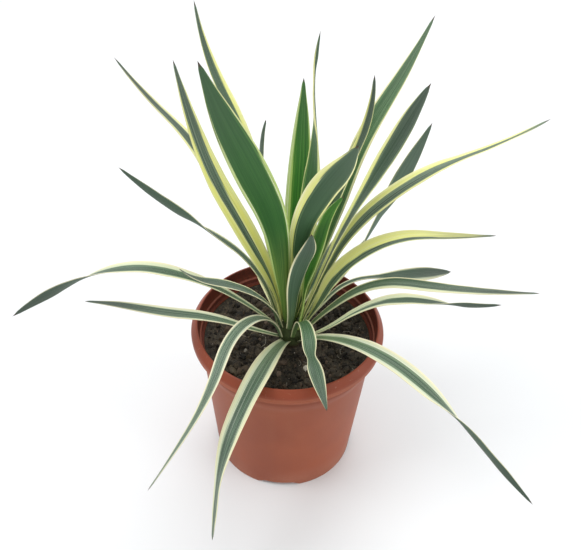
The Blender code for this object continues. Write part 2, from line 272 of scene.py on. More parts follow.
camera_data = bpy.data.cameras.new("camera")
camera_data.lens = LENS_MM
camera = new_object("camera", camera_data)
back = Vector((0, -math.cos(CAMERA_RISE), math.sin(CAMERA_RISE)))
level = Vector((1, 0, 0))
upward = level.cross(-back)
camera_x = level * math.cos(CAMERA_ROLL) + upward * math.sin(CAMERA_ROLL)
camera_y = -level * math.sin(CAMERA_ROLL) + upward * math.cos(CAMERA_ROLL)
place = CAMERA_TARGET + back * CAMERA_DISTANCE
camera.matrix_world = Matrix([(camera_x[row], camera_y[row], back[row], place[row])
                              for row in range(3)] + [(0, 0, 0, 1)])
bpy.context.scene.camera = camera
print("camera at", [round(value, 3) for value in place])

# %% [markdown]
# ## Floor
#
# The plant stands on a white table, of which only the pale surface and a faint shadow are seen. One
# wide square is enough for that. It belongs to the stage, not to the part.

# %% Floor
FLOOR_SIZE = 30.0
half = FLOOR_SIZE / 2
floor_mesh = new_mesh("floor", [(-half, -half, 0), (half, -half, 0), (half, half, 0),
                                (-half, half, 0)], [(0, 1, 2, 3)])
floor = new_object("floor", floor_mesh)
floor_finish, graph, shader = new_finish("floor", Roughness=0.6)
cloud = graph.noise(graph.spot(), 1.5, 3)
feed(graph, shader, Base_Color=graph.mix(cloud, (232, 235, 237), (236, 238, 239)))
floor_mesh.materials.append(floor_finish)
floor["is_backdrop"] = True

# %% [markdown]
# ## Light
#
# The room is bright and nearly without shadows, which a white world gives. A large soft lamp from
# the upper left adds the leaves' shine and the pot's gentle shading. A second one behind the plant
# keeps the far sides of the leaves bright, and a weak one at the right lightens the shadow there.

# %% Light
WORLD_STRENGTH = 0.75
LAMP_AIM = Vector((0, 0, 0.2))
world = bpy.data.worlds.new("studio")
bpy.context.scene.world = world
world.use_nodes = True
sky = world.node_tree.nodes["Background"]
sky.inputs["Color"].default_value = (1.0, 1.0, 1.0, 1.0)
sky.inputs["Strength"].default_value = WORLD_STRENGTH
bpy.context.scene.view_settings.view_transform = "Standard"


def add_lamp(name, size, power, position):
    """A square soft lamp that shines at the plant, with its size in metres and power in watts."""
    data = bpy.data.lights.new(name, "AREA")
    data.size, data.energy = size, power
    lamp = new_object(name, data)
    lamp.location = position
    lamp.rotation_euler = (LAMP_AIM - lamp.location).to_track_quat("-Z", "Y").to_euler()


add_lamp("key_lamp", 0.9, 15, (-1.0, -0.3, 1.8))
add_lamp("back_lamp", 1.6, 16, (0.3, 1.5, 1.7))
add_lamp("side_lamp", 0.8, 6, (1.3, -0.5, 0.7))

# %% [markdown]
# ## Reading a blade back from its solid
#
# A yucca leaf is a stiff blade with a shallow gutter: narrow at its root, broad in the middle, with
# a long taper to a sharp spine. Each solid leaf has 17 rings of 10 points. They are found again by
# walking outwards from the tip, ring by ring, along the mesh's edges. Every ring then gives the
# blade's middle, its side, its half width, the depth of its gutter and its thickness, so that the
# fine blade lies exactly where the solid does.

# %% Rings of a leaf
RING_POINTS = 10
RINGS = 17
MERGE = 0.00001
SIDE, FACE = slice(3, 6), slice(6, 9)  # columns of a reading, after the middle's three
HALF, GUTTER, EDGE, RIB = range(9, 13)


def merged_points(name):
    """Points of a solid with its doubles merged, and each point's neighbours along edges."""
    mesh = bmesh.new()
    mesh.from_mesh(frame["nodes"][name].data)
    bmesh.ops.remove_doubles(mesh, verts=mesh.verts, dist=MERGE)
    mesh.verts.index_update()
    points = np.array([vertex.co for vertex in mesh.verts])
    near = [[edge.other_vert(vertex).index for edge in vertex.link_edges]
            for vertex in mesh.verts]
    mesh.free()
    return points, near


def leaf_rings(name):
    """Rings of points from the root to the tip."""
    points, near = merged_points(name)
    apart = np.linalg.norm(points[:, None] - points[None], axis=2)
    tightest = np.sort(apart, axis=1)[:, RING_POINTS - 1].argmin()
    ring = [int(index) for index in apart[tightest].argsort()[:RING_POINTS]]
    rings, seen = [], set()
    while ring:
        rings.append(points[ring])
        seen.update(ring)
        ring = sorted({other for index in ring for other in near[index]} - seen)
    assert [len(ring) for ring in rings] == [RING_POINTS] * RINGS, name
    return rings[::-1]


def unit(vector):
    return vector / np.linalg.norm(vector)


def read_blade(name):
    """Middle, side and face directions, half width, gutter and thickness at each ring."""
    rings = leaf_rings(name)
    middles = np.array([ring.mean(axis=0) for ring in rings])
    side = unit(np.cross((0, 0, 1), middles[1] - middles[0]))
    rows = []
    for place, ring in enumerate(rings):
        along = unit(middles[min(place + 1, RINGS - 1)] - middles[max(place - 1, 0)])
        for _ in range(2):
            side = unit(side - along * np.dot(side, along))
            order = ring[(ring @ side).argsort()]
            low, rib, high = order[:2], order[4:6], order[8:]
            side = unit(high.mean(axis=0) - low.mean(axis=0))
        face = unit(np.cross(along, side))
        middle = rib.mean(axis=0)
        span = high.mean(axis=0) - low.mean(axis=0)
        gutter = np.dot((high.mean(axis=0) + low.mean(axis=0)) / 2 - middle, face)
        rows.append([*middle, *side, *face, np.linalg.norm(span) / 2, gutter,
                     np.linalg.norm(low[0] - low[1]), np.linalg.norm(rib[0] - rib[1])])
    return np.array(rows)


def through(values, count):
    """Values at even places along a smooth curve through the given ones."""
    ends = np.concatenate([[2 * values[0] - values[1]], values, [2 * values[-1] - values[-2]]])
    place = np.linspace(0, len(values) - 1, count)
    before = np.minimum(place.astype(int), len(values) - 2)
    share = (place - before)[:, None]
    first, second, third, fourth = (ends[before + step] for step in range(4))
    return (2 * second + (third - first) * share
            + (2 * first - 5 * second + 4 * third - fourth) * share ** 2
            + (3 * second - first - 3 * third + fourth) * share ** 3) / 2


blades = {name: read_blade(name) for name in leaf_names}
widest = {name: 2 * rows[:, HALF].max() / MM for name, rows in blades.items()}
print("widest leaf", max(widest.values()), "mm, slimmest", min(widest.values()), "mm")

# %% [markdown]
# ## The blade tree
#
# A blade follows a rule: a flat oval section is swept along the leaf's middle line. That suits
# Geometry Nodes. The guide is a chain of points that carries the readings above. The tree lays a
# grid over it, one row for each station, bends each row round the section, closes the seam and both
# ends by merging, and stores at every point how far across and along the leaf it lies. The finish
# reads those values back, so its stripes follow each leaf's own bends and twists.

# %% Blade tree
SECTION_CRISPNESS = 0.42  # lower is a squarer edge
SEAM = 0.000002  # points nearer than this become one


def new_tree(name, whole_numbers, measures):
    """A Geometry Nodes tree that changes a geometry, with named inputs and a material."""
    tree = bpy.data.node_groups.new(name, "GeometryNodeTree")
    tree.interface.new_socket("Geometry", in_out="OUTPUT", socket_type="NodeSocketGeometry")
    for kind, labels in (("Geometry", ["Geometry"]), ("Int", whole_numbers),
                         ("Float", measures), ("Material", ["Material"])):
        for label in labels:
            tree.interface.new_socket(label, in_out="INPUT", socket_type="NodeSocket" + kind)
    graph = Graph(tree)
    return tree, graph, graph.node("NodeGroupInput")


def close_tree(graph, entry, geometry):
    """Realize Instances, Set Material and the output."""
    solid = graph.shape("RealizeInstances", Geometry=geometry)
    painted = graph.shape("SetMaterial", Geometry=solid, Material=entry.also("Material"))
    graph.node("NodeGroupOutput", {}, {"Geometry": painted})


def keep(graph, geometry, name, value):
    """Store a value at every point under a name."""
    return graph.shape("StoreNamedAttribute", {"data_type": "FLOAT"}, Geometry=geometry,
                       Name=name, Value=value)


LOOK_NAMES = ["low_band", "high_band", "back", "taper", "yellow", "fresh", "deep", "dusk",
              "number"]


def make_blade_tree():
    """Sweeps a thin oval section along a guide and marks its points."""
    tree, graph, entry = new_tree("blade", ["Stations", "Around"],
                                  ["Ripple", "Length", *LOOK_NAMES])
    guide, stations, around = entry, entry.also("Stations"), entry.also("Around")
    columns = around + 1
    grid = graph.shape("MeshGrid", Vertices_X=stations, Vertices_Y=columns)
    index = graph.shape("InputIndex")
    row = graph.math("FLOOR", (index + 0.5) / columns)
    turn = (index - row * columns) / around * (2 * math.pi)
    across = -graph.math("COSINE", turn)
    sine = graph.math("SINE", turn)
    lift = graph.math("SIGN", sine) * abs(sine) ** SECTION_CRISPNESS

    def at_row(value, kind):
        """What the guide has at this point's row."""
        return graph.shape("SampleIndex", {"data_type": kind}, Geometry=guide, Value=value,
                           Index=row)

    def sample(name, kind="FLOAT"):
        """A reading of the guide at this point's row."""
        return at_row(graph.shape("InputNamedAttribute", {"data_type": kind}, Name=name), kind)

    middle = at_row(graph.shape("InputPosition"), "FLOAT_VECTOR")
    half, gutter, edge, rib, along = map(sample, ("half", "gutter", "edge", "rib", "along"))
    metres = along * entry.also("Length")
    number = entry.also("number")
    wave = graph.noise(graph.point(across, metres * 45, number * 5), 1.0, 1.0) - 0.5
    calm = graph.band(along, (0.05, 0.3), (1.0, 0.85))
    rise = (gutter * across * across + lift * (edge + (rib - edge) * (1 - across * across)) / 2
            + wave * abs(across) ** 3 * calm * entry.also("Ripple"))
    outward = graph.scale(sample("side", "FLOAT_VECTOR"), across * half)
    raised = graph.scale(sample("face", "FLOAT_VECTOR"), rise)
    spot = graph.vector("ADD", middle, graph.vector("ADD", outward, raised))
    blade = graph.shape("SetPosition", Geometry=grid, Position=spot)
    for name, value in {"across": across, "along": along, "metres": metres,
                        "upper": lift}.items():
        blade = keep(graph, blade, name, value)
    for name in LOOK_NAMES:
        blade = keep(graph, blade, name, entry.also(name))
    blade = graph.shape("MergeByDistance", Geometry=blade, Distance=SEAM)
    blade = graph.shape("SetShadeSmooth", Geometry=blade)
    close_tree(graph, entry, blade)
    return tree


def settle(holder, modifier):
    """Keep a modifier's result as the object's own plain mesh, and drop the modifier."""
    bpy.context.view_layer.update()
    scene_now = bpy.context.evaluated_depsgraph_get()
    mesh = bpy.data.meshes.new_from_object(holder.evaluated_get(scene_now),
                                           preserve_all_data_layers=True, depsgraph=scene_now)
    holder.modifiers.remove(modifier)
    holder.data = mesh


def run_tree(holder, tree, values):
    """Run a tree on an object with its inputs set."""
    modifier = holder.modifiers.new(tree.name, "NODES")
    modifier.node_group = tree
    for item in tree.interface.items_tree:
        if item.item_type == "SOCKET" and item.in_out == "INPUT" and item.name in values:
            modifier[item.identifier] = values[item.name]
    settle(holder, modifier)


def report(piece):
    """Print a piece's triangles, its open edges and its volume, positive if it faces outwards."""
    mesh = bmesh.new()
    mesh.from_mesh(piece.data)
    open_edges = sum(len(edge.link_faces) != 2 for edge in mesh.edges)
    volume = mesh.calc_volume(signed=True)
    triangles = sum(len(face.verts) - 2 for face in mesh.faces)
    mesh.free()
    print(piece.name, "triangles", triangles, "open edges", open_edges,
          "volume ml", round(volume * 1e6, 2))
    return triangles


blade_tree = make_blade_tree()
print("blade tree nodes", len(blade_tree.nodes))

# %% [markdown]
# ## The leaf finish
#
# A variegated leaf is dark green along its middle, lighter grey-green beside it, and cream or
# yellow at its margins. The colours meet in long streaks, since they follow the leaf's fibres. The
# youngest leaves in the heart have the yellowest margins, and old outer ones are nearly white. Fine
# lines run from root to tip, and the back is plainer with narrower margins. Every leaf is paler at
# its root, old ones turn grey towards their tips, and the spine at the tip is brown. An image would
# fit one leaf only, so all of it comes from noise that is drawn out along the leaf.

# %% Leaf finish
def make_leaf_finish():
    material, graph, shader = new_finish("leaf", Specular_IOR_Level=0.35)
    across, along, metres, upper = (graph.attribute(name)
                                    for name in ("across", "along", "metres", "upper"))
    low_band, high_band, back, taper, yellow, fresh, deep, dusk, number = (
        graph.attribute(name) for name in LOOK_NAMES)
    seed = number * 7.3  # each leaf reads another part of the noise
    top = graph.step(upper, -0.15, 0.15)
    wobble = graph.noise(graph.point(across * 0.8, metres * 16, seed))
    streak = graph.noise(graph.point(across * 5, metres * 9, seed + 20), 1.0, 3, 0.6)
    strand = graph.noise(graph.point(across * 16, metres * 5, seed + 40), 1.0, 2, 0.6)
    thread = graph.noise(graph.point(across * 42, metres * 7, seed + 60), 1.0, 2, 0.6)
    line = graph.step(strand, 0.42, 0.6)
    hair = graph.step(thread, 0.5, 0.62)
    spread = (1 + taper * (0.9 - 2 * along)) * (back + (1 - back) * top)
    low_reach = low_band * spread * (0.75 + 0.5 * wobble)
    high_reach = high_band * spread * (0.75 + 0.5 * wobble)
    ragged = (streak - 0.5) * 0.4 + (strand - 0.5) * 0.34

    def both(extra, soft):
        """Where either margin reaches, with streaks along its inner side."""
        low = graph.step(low_reach + extra + ragged - 1 - across, -soft, soft)
        high = graph.step(high_reach + extra + ragged - 1 + across, -soft, soft)
        return graph.math("MAXIMUM", low, high)

    young = graph.step(fresh + (0.45 - along) * 0.5, 0.0, 1.0)
    dark = graph.mix(young, (54, 76, 60), (28, 90, 26))
    light = graph.mix(young, (112, 138, 114), (76, 146, 48))
    centre = graph.mix(line * (0.9 - deep * 0.75), dark, light)
    centre = graph.mix(hair * (1 - deep * 0.85) * 0.55, centre,
                       graph.mix(young, (204, 214, 194), (136, 184, 84)))
    back_green = graph.mix(line * 0.35, graph.mix(young, (68, 91, 72), (28, 86, 22)),
                           graph.mix(young, (92, 118, 96), (60, 116, 40)))
    centre = graph.mix(top, back_green, centre)
    lime = graph.step(fresh, 1.0, 1.4)
    centre = graph.mix(lime * 0.8, centre, graph.mix(line, (78, 132, 20), (122, 166, 48)))
    halfway = graph.mix(young, (140, 162, 132), (120, 172, 66))
    colour = graph.mix(both(0.14, 0.1) * (0.3 + 0.4 * line) * (0.3 + 0.7 * top), centre, halfway)

    # The margin turns whiter towards its edge: partly its own paler edge, partly a painted
    # highlight along it.
    outermost = graph.step(abs(across), 0.6, 0.97)
    inner_cream = graph.mix(yellow, (212, 221, 194), (248, 246, 136))
    outer_cream_and_highlight = graph.mix(yellow, (242, 234, 198), (254, 252, 170))
    cream = graph.mix(outermost, inner_cream, outer_cream_and_highlight)
    cream = graph.mix(graph.step(young, 0.5, 1.0) * 0.75, cream, (146, 188, 76))
    cream = graph.mix(hair * 0.3, cream, graph.mix(yellow, (158, 176, 144), (214, 220, 108)))
    cream = graph.mix(graph.step(strand, 0.56, 0.62) * 0.4, cream, (250, 250, 236))
    closing = graph.step(along, 0.99, 0.9)
    colour = graph.mix(both(0.0, 0.035) * closing, colour, cream)

    dull = graph.step(along + (streak - 0.5) * 0.3, 0.62, 0.94) * dusk
    colour = graph.mix(dull * (0.35 + 0.35 * (1 - outermost)), colour,
                       graph.mix(hair, (54, 62, 56), (88, 96, 88)))
    root = graph.step(along, 0.4, 0.04) * (0.25 + 0.45 * line) * (0.45 + 0.55 * young)
    colour = graph.mix(root, colour, graph.mix(young, (140, 156, 118), (152, 174, 84)))
    verge = graph.step(abs(across), 0.972, 0.995) * graph.step(wobble, 0.4, 0.6)
    colour = graph.mix(verge * 0.5, colour, (120, 92, 58))
    spine = graph.step(along + (streak - 0.5) * 0.01, 0.978, 0.992)
    colour = graph.mix(spine, colour, (74, 56, 42))
    feed(graph, shader, Base_Color=colour, Roughness=0.36 + 0.14 * strand + 0.08 * (1 - top),
         Normal=graph.bump(0.45, 0.0005, strand * 0.6 + thread * 0.4))
    return material


leaf_finish = make_leaf_finish()
print("leaf finish nodes", len(leaf_finish.node_tree.nodes))

# %% [markdown]
# ## Growing the blades
#
# Each row of the table is one leaf's colouring. First come the bands at its right-hand and its
# left-hand margin, looking from root to tip, as shares of the half width; then how much of them
# shows on the back, and how much they narrow towards the tip. After that: how yellow the margins
# are, how fresh the green is, how plain the middle is, and how grey the tip. The four short leaves
# hidden at the back share one row. A guide is made from the solid's readings, the tree sweeps it,
# and the plain mesh replaces the solid leaf.

# %% Blades
HIDDEN_LOOK = (0.35, 0.35, 0.6, 0.2, 0.35, 0.3, 0.6, 0.5)
LEAF_LOOKS = {
    1: (0.55, 0.10, 0.7, 0.2, 0.80, 0.65, 1.0, 0.4),
    2: (0.18, 0.42, 0.6, 0.1, 0.40, 1.00, 0.7, 0.3),
    3: (0.46, 0.14, 1.0, 0.4, 0.85, 0.42, 0.9, 0.0),
    4: (0.12, 0.55, 0.7, 0.2, 0.85, 0.30, 0.9, 0.6),
    5: (0.15, 0.15, 1.0, 0.6, 0.50, 0.85, 1.0, 0.3),
    6: (0.62, 0.15, 0.7, 0.3, 0.80, 0.40, 0.7, 0.3),
    7: (0.20, 0.24, 0.5, 0.5, 0.40, 0.55, 0.3, 0.1),
    8: (0.20, 0.62, 0.6, 0.9, 0.80, 0.25, 1.0, 0.5),
    9: (0.58, 0.64, 0.7, 0.7, 1.00, 0.10, 0.5, 0.3),
    10: (0.30, 0.30, 0.8, 0.7, 0.60, 1.08, 0.8, 0.0),
    11: (0.14, 0.12, 0.9, 0.0, 0.30, 0.20, 1.0, 0.5),
    12: (0.30, 0.66, 0.6, 0.1, 0.80, 0.15, 0.3, 0.0),
    13: (0.20, 0.20, 0.4, 0.0, 0.20, 0.10, 0.5, 0.4),
    14: (0.20, 0.20, 0.6, 0.0, 0.15, 0.15, 0.7, 0.6),
    15: (0.40, 0.42, 0.6, 0.2, 0.60, 0.20, 0.6, 0.8),
    16: (0.05, 1.05, 0.5, -0.5, 0.80, 0.20, 0.6, 0.8),
    18: (0.12, 0.12, 0.4, 0.0, 0.20, 0.15, 1.0, 0.5),
    19: (0.16, 0.16, 0.6, 0.0, 0.12, 0.35, 0.6, 0.3),
    20: (0.58, 0.24, 0.1, 0.2, 0.10, 0.20, 0.5, 0.9),
    21: (0.30, 0.34, 0.1, 0.2, 0.20, 0.20, 0.6, 0.5),
    22: (0.60, 0.20, 0.6, 0.4, 0.10, 0.30, 1.0, 0.9),
    23: (0.30, 0.45, 0.5, 0.0, 0.00, 0.10, 0.0, 0.3),
    25: (0.50, 0.20, 0.3, 0.2, 0.20, 0.25, 0.6, 0.8),
    27: (0.50, 0.80, 0.1, 0.6, 0.18, 0.25, 0.8, 0.9),
    28: (0.46, 0.50, 0.1, 0.1, 0.05, 0.20, 0.6, 0.8),
    29: (0.46, 0.44, 0.6, 0.1, 0.10, 0.10, 0.3, 0.2),
    30: (0.48, 0.34, 0.4, 0.5, 0.10, 0.25, 0.6, 0.9),
}
STATIONS = 84
AROUND = 28
TIP_SHARE = 0.025  # share of the length over which the tip closes
RIPPLE = 0.9 * MM


def make_guide(name):
    """Chain of points along a leaf's middle that carries its readings, and its length."""
    rows = through(blades[name], STATIONS)
    rows = np.concatenate([rows[:1], rows, rows[-1:]])
    share = np.concatenate([[0.0], np.linspace(0, 1, STATIONS), [1.0]])
    closing = np.clip((share - 1 + TIP_SHARE) / TIP_SHARE, 0, 1)
    taper = 1 - closing ** 1.5
    taper[[0, -1]] = 0.0
    mesh = new_mesh(name + "_guide", [tuple(row[:3]) for row in rows], (),
                    [(place, place + 1) for place in range(len(rows) - 1)])
    readings = {"side": rows[:, SIDE], "face": rows[:, FACE], "half": rows[:, HALF] * taper,
                "gutter": rows[:, GUTTER] * taper, "edge": rows[:, EDGE] * taper,
                "rib": rows[:, RIB] * taper, "along": share}
    for label, values in readings.items():
        vector = values.ndim == 2
        if vector:
            values = values / np.linalg.norm(values, axis=1)[:, None]
        store = mesh.attributes.new(label, "FLOAT_VECTOR" if vector else "FLOAT", "POINT")
        store.data.foreach_set("vector" if vector else "value",
                               np.ascontiguousarray(values, dtype=np.float32).ravel())
    steps = np.linalg.norm(np.diff(rows[:, :3], axis=0), axis=1)
    return mesh, float(steps.sum())


total = 0
for name in leaf_names:
    number = int(name[-2:])
    guide_mesh, length = make_guide(name)
    blade = new_object(name.replace("leaf", "blade"), guide_mesh)
    values = {"Stations": STATIONS + 2, "Around": AROUND, "Ripple": RIPPLE, "Length": length,
              "Material": leaf_finish}
    values.update(zip(LOOK_NAMES, [*LEAF_LOOKS.get(number, HIDDEN_LOOK), float(number)]))
    run_tree(blade, blade_tree, values)
    total += report(blade)
    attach(blade, "root")
    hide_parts(name)
print("blade triangles", total)

# %% [markdown]
# ## The pot
#
# The pot is injection moulded: a thin wall turned about the upright axis, with a lip that slopes
# outwards, a step inside it and a few fine grooves under it. A profile in millimetres is spun round
# in many small steps, after its corners are rounded, because turning gives an even round wall.

# %% Pot profile
POT_STEPS = 192
PLATE_FOOT, PLATE_RIM = (36.5, 2.5), (38.0, 7.5)  # middle plate inside: radius and height
WALL_FOOT, WALL_TOP = (62.2, 7.5), (74.2, 134.0)  # straight inner wall
POT_PROFILE = [
    (38.0, 0.0, 0.3), (39.5, 5.0, 0.5), (59.4, 5.0, 0.5), (60.0, 0.0, 0.3), (64.2, 0.0, 0.5),
    (64.85, 7.0, 0.5), (66.98, 30.0, 0.5), (69.75, 60.0, 0.5), (72.53, 90.0, 0.5),
    (75.3, 120.0, 3.0), (77.9, 127.6, 2.0), (82.9, 137.0, 2.0), (84.5, 139.8, 0.3),
    (84.3, 140.3, 0.1), (84.7, 140.9, 0.1), (84.85, 142.2, 0.1), (84.55, 142.6, 0.1),
    (84.95, 143.1, 0.1), (85.0, 144.6, 0.5), (84.6, 147.0, 1.0), (80.6, 152.3, 0.8),
    (79.5, 152.8, 0.4), (78.8, 152.0, 0.4), (77.4, 140.4, 0.2), (76.2, 139.4, 0.2),
    (75.8, 135.4, 0.2), (*WALL_TOP, 0.3), (*WALL_FOOT, 1.0), (*PLATE_RIM, 0.5), (*PLATE_FOOT, 0.5),
]
CORNER_STEPS = 4


def rounded(profile):
    """Profile with each corner replaced by a short arc of its own radius."""
    points = np.array([corner[:2] for corner in profile], dtype=float)
    ends = np.concatenate([[(0.0, points[0][1])], points, [(0.0, points[-1][1])]])
    smooth = []
    for place, (_, _, radius) in enumerate(profile):
        before, corner, after = ends[place], ends[place + 1], ends[place + 2]
        reach_in, reach_out = before - corner, after - corner
        cut = min(radius, 0.45 * np.linalg.norm(reach_in), 0.45 * np.linalg.norm(reach_out))
        start, end = corner + unit(reach_in) * cut, corner + unit(reach_out) * cut
        for share in np.linspace(0, 1, CORNER_STEPS):
            smooth.append((1 - share) ** 2 * start + 2 * share * (1 - share) * corner
                          + share ** 2 * end)
    return smooth


def turned(name, profile, steps):
    """Closed solid from a profile in millimetres, spun round the upright axis."""
    mesh = bmesh.new()
    turns = [2 * math.pi * step / steps for step in range(steps)]
    rings = [[mesh.verts.new((radius * MM * math.cos(turn), radius * MM * math.sin(turn),
                              height * MM)) for turn in turns] for radius, height in profile]
    for low, high in zip(rings, rings[1:]):
        for step in range(steps):
            after = (step + 1) % steps
            mesh.faces.new((low[step], low[after], high[after], high[step]))
    for ring, way in ((rings[0], -1), (rings[-1], 1)):
        pole = mesh.verts.new((0, 0, ring[0].co.z))
        for step in range(steps):
            pair = (ring[step], ring[(step + 1) % steps])[::way]
            mesh.faces.new((*pair, pole))
    data = bpy.data.meshes.new(name)
    mesh.to_mesh(data)
    mesh.free()
    return new_object(name, data)


pot = turned("pot_shell", rounded(POT_PROFILE), POT_STEPS)
report(pot)

# %% [markdown]
# ## Notches and drain holes
#
# Water leaves the pot through eight round holes in its floor and then under its foot, through four
# wide notches. Pins in the mould leave them open. Here bars of the same shape are cut out of the
# turned solid with an exact Boolean, which keeps it closed.

# %% Notches and drain holes
DRAINS = 8
DRAIN_CIRCLE = 49.5
DRAIN_RADIUS = 4.5
DRAIN_SIDES = 32
DRAIN_MIDDLE, DRAIN_HEIGHT = 6.2, 6.0  # of the cutter
NOTCHES = 4
NOTCH_BEARING = math.radians(-93)
NOTCH_SECTION = [(-21.4, -1.0), (21.4, -1.0), (13.5, 4.0), (-13.5, 4.0)]
NOTCH_REACH = (55.5, 69.0)


def drain_cutter(turn):
    """Upright round bar through the floor."""
    mesh = bmesh.new()
    bmesh.ops.create_cone(mesh, cap_ends=True, segments=DRAIN_SIDES, radius1=DRAIN_RADIUS * MM,
                          radius2=DRAIN_RADIUS * MM, depth=DRAIN_HEIGHT * MM)
    middle = (DRAIN_CIRCLE * MM * math.cos(turn), DRAIN_CIRCLE * MM * math.sin(turn),
              DRAIN_MIDDLE * MM)
    bmesh.ops.translate(mesh, verts=mesh.verts, vec=middle)
    return mesh


def notch_cutter(turn):
    """Tapered bar through the foot ring."""
    mesh = bmesh.new()
    ends = [[mesh.verts.new((radius * MM, side * MM, height * MM))
             for side, height in NOTCH_SECTION] for radius in NOTCH_REACH]
    mesh.faces.new(ends[0][::-1])
    mesh.faces.new(ends[1])
    for step in range(len(NOTCH_SECTION)):
        after = (step + 1) % len(NOTCH_SECTION)
        mesh.faces.new((ends[0][step], ends[0][after], ends[1][after], ends[1][step]))
    bmesh.ops.rotate(mesh, verts=mesh.verts, cent=(0, 0, 0), matrix=Matrix.Rotation(turn, 3, "Z"))
    return mesh


def cut_out(made, cutters):
    """Take the cutters away from an object with an exact Boolean."""
    tools = bpy.data.collections.new("cutters")
    bpy.context.scene.collection.children.link(tools)
    for cutter in cutters:
        bmesh.ops.recalc_face_normals(cutter, faces=cutter.faces)
        data = bpy.data.meshes.new("cutter")
        cutter.to_mesh(data)
        cutter.free()
        tools.objects.link(bpy.data.objects.new("cutter", data))
    boolean = made.modifiers.new("cut", "BOOLEAN")
    boolean.operation, boolean.solver = "DIFFERENCE", "EXACT"
    boolean.operand_type, boolean.collection = "COLLECTION", tools
    settle(made, boolean)
    for cutter in list(tools.objects):
        bpy.data.objects.remove(cutter, do_unlink=True)
    bpy.data.collections.remove(tools)


cut_out(pot, [drain_cutter(2 * math.pi * hole / DRAINS) for hole in range(DRAINS)]
        + [notch_cutter(NOTCH_BEARING + 2 * math.pi * notch / NOTCHES)
           for notch in range(NOTCHES)])
pot.data.shade_smooth()
pot.data.set_sharp_from_angle(angle=math.radians(40))
report(pot)

# %% [markdown]
# ## The pot's plastic
#
# Terracotta-coloured polypropylene is satin, not glossy: a soft sheen over an even brown-red, with
# faint rings left by the mould. A haze lies on the wall and dust at its foot. Shade is painted
# inside the pot above the soil and in a band under the rim, and highlights are painted on the
# grooves round the rim and on the ledge inside the lip; the lip has pale scuffs. Height and radius
# say which is where, so one finish serves the whole pot, as one layer over another.

# %% Pot finish
def make_pot_finish():
    """The heights and radii in it are in metres, from the profile above."""
    material, graph, shader = new_finish("pot_plastic", Specular_IOR_Level=0.35)
    spot = graph.spot()
    apart = graph.node("ShaderNodeSeparateXYZ", {}, {"Vector": spot})
    x, y, height = apart, apart.also("Y"), apart.also("Z")
    radius = (x * x + y * y) ** 0.5
    broad = graph.noise(spot, 14, 3)
    speckle = graph.noise(spot, 420, 3, 0.6)
    streaks = graph.noise(graph.vector("MULTIPLY", spot, (60, 60, 4)), 1.0, 3)
    bands = graph.noise(graph.point(0.0, 0.0, height * 900), 1.0, 2)
    base = graph.mix(graph.step(broad, 0.3, 0.7), (139, 67, 39), (153, 78, 48))
    haze = graph.step(streaks, 0.45, 0.75) * graph.step(height, 0.03, 0.1)
    dust = graph.step(height, 0.03, 0.0) * graph.step(broad + speckle * 0.4, 0.5, 0.9)
    # Painted shade: a darker band under the rim, where the rim shades the wall. The band is also
    # rougher.
    under_rim_shade = graph.band(height, (0.122, 0.136), (0.1396, 0.1392))
    lip = graph.step(height, 0.1445, 0.1455)
    # Painted highlights: paler rings on the grooves round the rim, where they catch the light.
    groove_highlights = graph.band(height, (0.1392, 0.1398), (0.1438, 0.143)) * graph.step(bands, 0.42, 0.6)
    # Painted shade: the inside of the pot above the soil is darker, because the wall is in shade
    # there.
    inside = graph.step(radius, 0.0797, 0.0789) * graph.step(height, 0.1335, 0.1345)
    # Painted highlight: a paler line on the ledge inside the lip, where it catches the light.
    ledge_highlight = inside * graph.band(height, (0.1386, 0.1391), (0.1408, 0.1403))
    stain = inside * graph.step(broad * 0.5 + speckle * 0.5, 0.5, 0.62)
    scuff = lip * (1 - inside) * graph.step(speckle, 0.64, 0.72)
    for share, colour in ((haze * 0.22, (150, 94, 66)), (dust * 0.25, (186, 140, 118)),
                          (under_rim_shade * 0.5, (112, 46, 24)), (lip * 0.7, (130, 54, 29)),
                          (groove_highlights * 0.6, (184, 108, 76)), (inside * 0.75, (92, 38, 29)),
                          (ledge_highlight * 0.5, (168, 96, 76)), (stain * 0.5, (52, 36, 28)),
                          (scuff * 0.3, (190, 140, 118))):
        base = graph.mix(share, base, colour)
    relief = bands * 0.5 + speckle * 0.25 + broad * 0.3
    feed(graph, shader, Base_Color=base, Normal=graph.bump(0.12, 0.0005, relief),
         Roughness=0.38 + 0.16 * broad + 0.06 * speckle + 0.3 * under_rim_shade)
    return material


pot.data.materials.clear()
pot.data.materials.append(make_pot_finish())
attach(pot, "root")
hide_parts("pot")

# %% [markdown]
# ## The soil
#
# Potting soil is a dark, loose mix of peat, bark and a few pebbles. The body below fills the pot to
# 20 mm under its lip, a hair's breadth from the wall. Its top is a fine polar grid that noise
# raises and lowers by a few millimetres. The crumbs that catch the light come after it.

# %% Soil bed
SOIL_TOP = 133.0
SOIL_GAP = 0.3
CROWN = (3.0, -3.0)
STEM_HOLE = 10.8
HOLE_FLOOR = 94.7
BED_STEPS = 200
BED_RINGS = 44
HILLS = ((17, 1.8), (6.5, 1.6), (2.6, 0.8))  # width and height of each size of lump


def hills(x, y):
    """Height in millimetres of the soil's lumps at a place in millimetres."""
    rise = 0.0
    for size, height in HILLS:
        rise += height * noise.noise(Vector((x / size, y / size, size)))
    return rise


def wall_radius(height):
    """Radius in millimetres of the pot's straight inner wall."""
    share = (height - WALL_FOOT[1]) / (WALL_TOP[1] - WALL_FOOT[1])
    return WALL_FOOT[0] + (WALL_TOP[0] - WALL_FOOT[0]) * share


def circle(steps):
    """Cosine and sine of even turns once round."""
    turns = np.linspace(0, 2 * math.pi, steps, endpoint=False)
    return [(math.cos(turn), math.sin(turn)) for turn in turns]


def ring_walls(rings, steps):
    """Four-sided faces between each ring of points and the next."""
    faces = []
    for ring in range(rings - 1):
        for step in range(steps):
            low, high, after = ring * steps, (ring + 1) * steps, (step + 1) % steps
            faces.append((low + step, low + after, high + after, high + step))
    return faces


